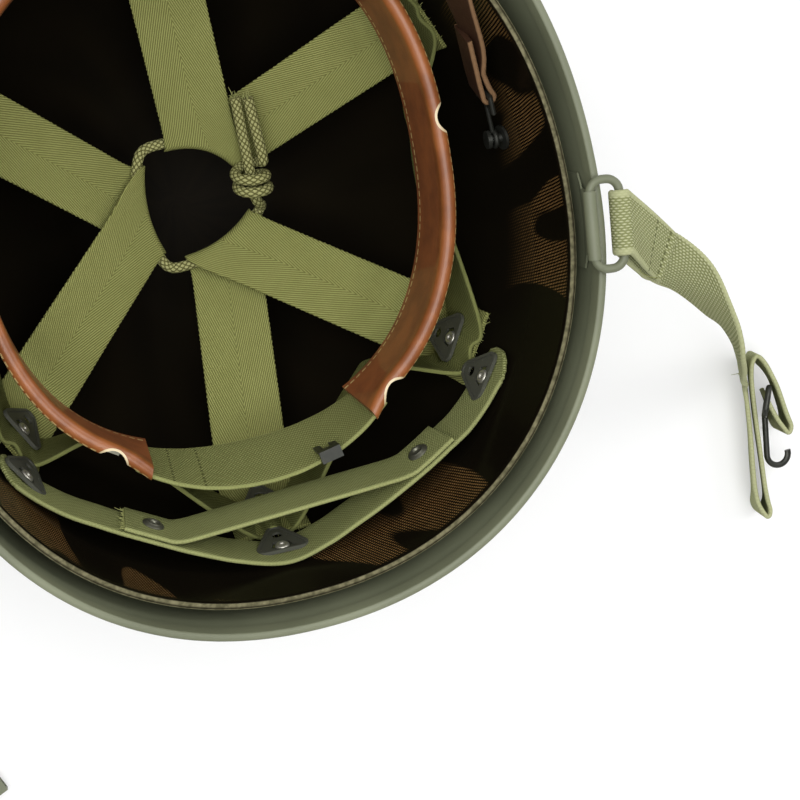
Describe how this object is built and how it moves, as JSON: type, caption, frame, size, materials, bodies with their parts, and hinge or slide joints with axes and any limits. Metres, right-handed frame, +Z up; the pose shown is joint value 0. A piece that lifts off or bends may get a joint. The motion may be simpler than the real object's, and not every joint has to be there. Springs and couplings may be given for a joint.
{
  "type": "combat helmet",
  "caption": "Two-piece combat helmet lying on its crown: steel shell, fibre liner with webbing suspension and leather sweatband, webbing chinstraps on wire bails and a leather chinstrap",
  "frame": {"origin": "the outermost point of the steel crown, which is where the helmet touches the surface that it lies on", "axes": "+Z points up out of the opening, +Y toward the front brim, +X to the side of the hinged strap with the hook"},
  "size_m": [0.4353, 0.3877, 0.1828],
  "materials": {
    "shell_paint": "matt grey-green paint",
    "strap_webbing": "light olive cotton webbing",
    "liner_webbing": "olive herringbone cotton webbing",
    "cord": "braided cotton cord",
    "liner_resin": "dark glossy resin over woven duck",
    "sweatband_hide": "glossy chestnut leather",
    "strap_hide": "dark brown leather",
    "blackened_steel": "blackened steel",
    "rivet_steel": "plated steel"
  },
  "bodies": {
    "shell": {"steel_shell": "shell_paint", "rim_binding": "shell_paint", "bail_plate_right": "shell_paint", "bail_plate_left": "shell_paint"},
    "bail_right": {"bail_right": "shell_paint"},
    "bail_left": {"bail_left": "shell_paint"},
    "strap_right": {"chinstrap_right": "strap_webbing"},
    "hook": {"chin_hook": "blackened_steel"},
    "strap_left": {"chinstrap_left": "strap_webbing", "strap_end_clip": "shell_paint"},
    "buckle": {"chin_buckle": "blackened_steel"},
    "liner": {"liner_shell": "liner_resin", "headband_webbing": "liner_webbing", "crown_web_front": "liner_webbing", "crown_web_left": "liner_webbing", "crown_web_rear": "liner_webbing", "tie_cord": "cord", "washer_front": "blackened_steel", "washer_front_right": "blackened_steel", "washer_front_left": "blackened_steel", "washer_rear_right": "blackened_steel", "washer_rear_left": "blackened_steel", "washer_rear": "blackened_steel", "suspension_rivets": "rivet_steel", "nape_washer_right": "blackened_steel", "nape_washer_left": "blackened_steel", "nape_washer_centre": "blackened_steel", "nape_rivets": "rivet_steel", "nape_band": "liner_webbing", "nape_strap": "liner_webbing", "snap_studs": "rivet_steel", "snap_sockets": "rivet_steel", "sweatband_leather": "sweatband_hide", "sweatband_rear_strap": "liner_webbing", "sweatband_buckle": "blackened_steel", "sweatband_clip_1": "rivet_steel", "sweatband_clip_2": "rivet_steel", "sweatband_clip_3": "rivet_steel", "sweatband_clip_4": "rivet_steel", "sweatband_clip_5": "rivet_steel", "sweatband_clip_6": "rivet_steel", "liner_stud_right": "blackened_steel", "liner_stud_left": "blackened_steel"},
    "leather_strap": {"liner_chinstrap": "strap_hide", "liner_strap_buckle": "blackened_steel", "liner_hook_right": "blackened_steel", "liner_hook_left": "blackened_steel"}
  },
  "joints": [
    {"name": "bail_right_hinge", "type": "hinge", "parent": "shell", "child": "bail_right", "pos_m": [0.114, -0.022, 0.179], "axis": [-0.0785, -0.9969, 0], "range_deg": [0, 80]},
    {"name": "bail_left_hinge", "type": "hinge", "parent": "shell", "child": "bail_left", "pos_m": [-0.114, -0.022, 0.179], "axis": [-0.0785, 0.9969, 0], "range_deg": [0, 80]},
    {"name": "strap_right_swing", "type": "hinge", "parent": "bail_right", "child": "strap_right", "pos_m": [0.12447, -0.02282, 0.179], "axis": [-0.0785, -0.9969, 0], "range_deg": [-12, 45]},
    {"name": "strap_left_swing", "type": "hinge", "parent": "bail_left", "child": "strap_left", "pos_m": [-0.12447, -0.02282, 0.179], "axis": [-0.0785, 0.9969, 0], "range_deg": [-12, 45]},
    {"name": "hook_swing", "type": "hinge", "parent": "strap_right", "child": "hook", "pos_m": [0.23805, -0.13265, 0.013], "axis": [0, 0, 1], "range_deg": [-8, 4]},
    {"name": "buckle_slide", "type": "slide", "parent": "strap_left", "child": "buckle", "axis": [0.4179, -0.9085, 0], "range_m": [-0.008, 0.02]},
    {"name": "liner_lift", "type": "slide", "parent": "shell", "child": "liner", "axis": [0, 0, 1], "range_m": [0, 0.2]},
    {"name": "leather_strap_swing", "type": "hinge", "parent": "liner", "child": "leather_strap", "pos_m": [0, 0.00963, 0.12507], "axis": [1, 0, 0], "range_deg": [0, 100]}
  ]
}
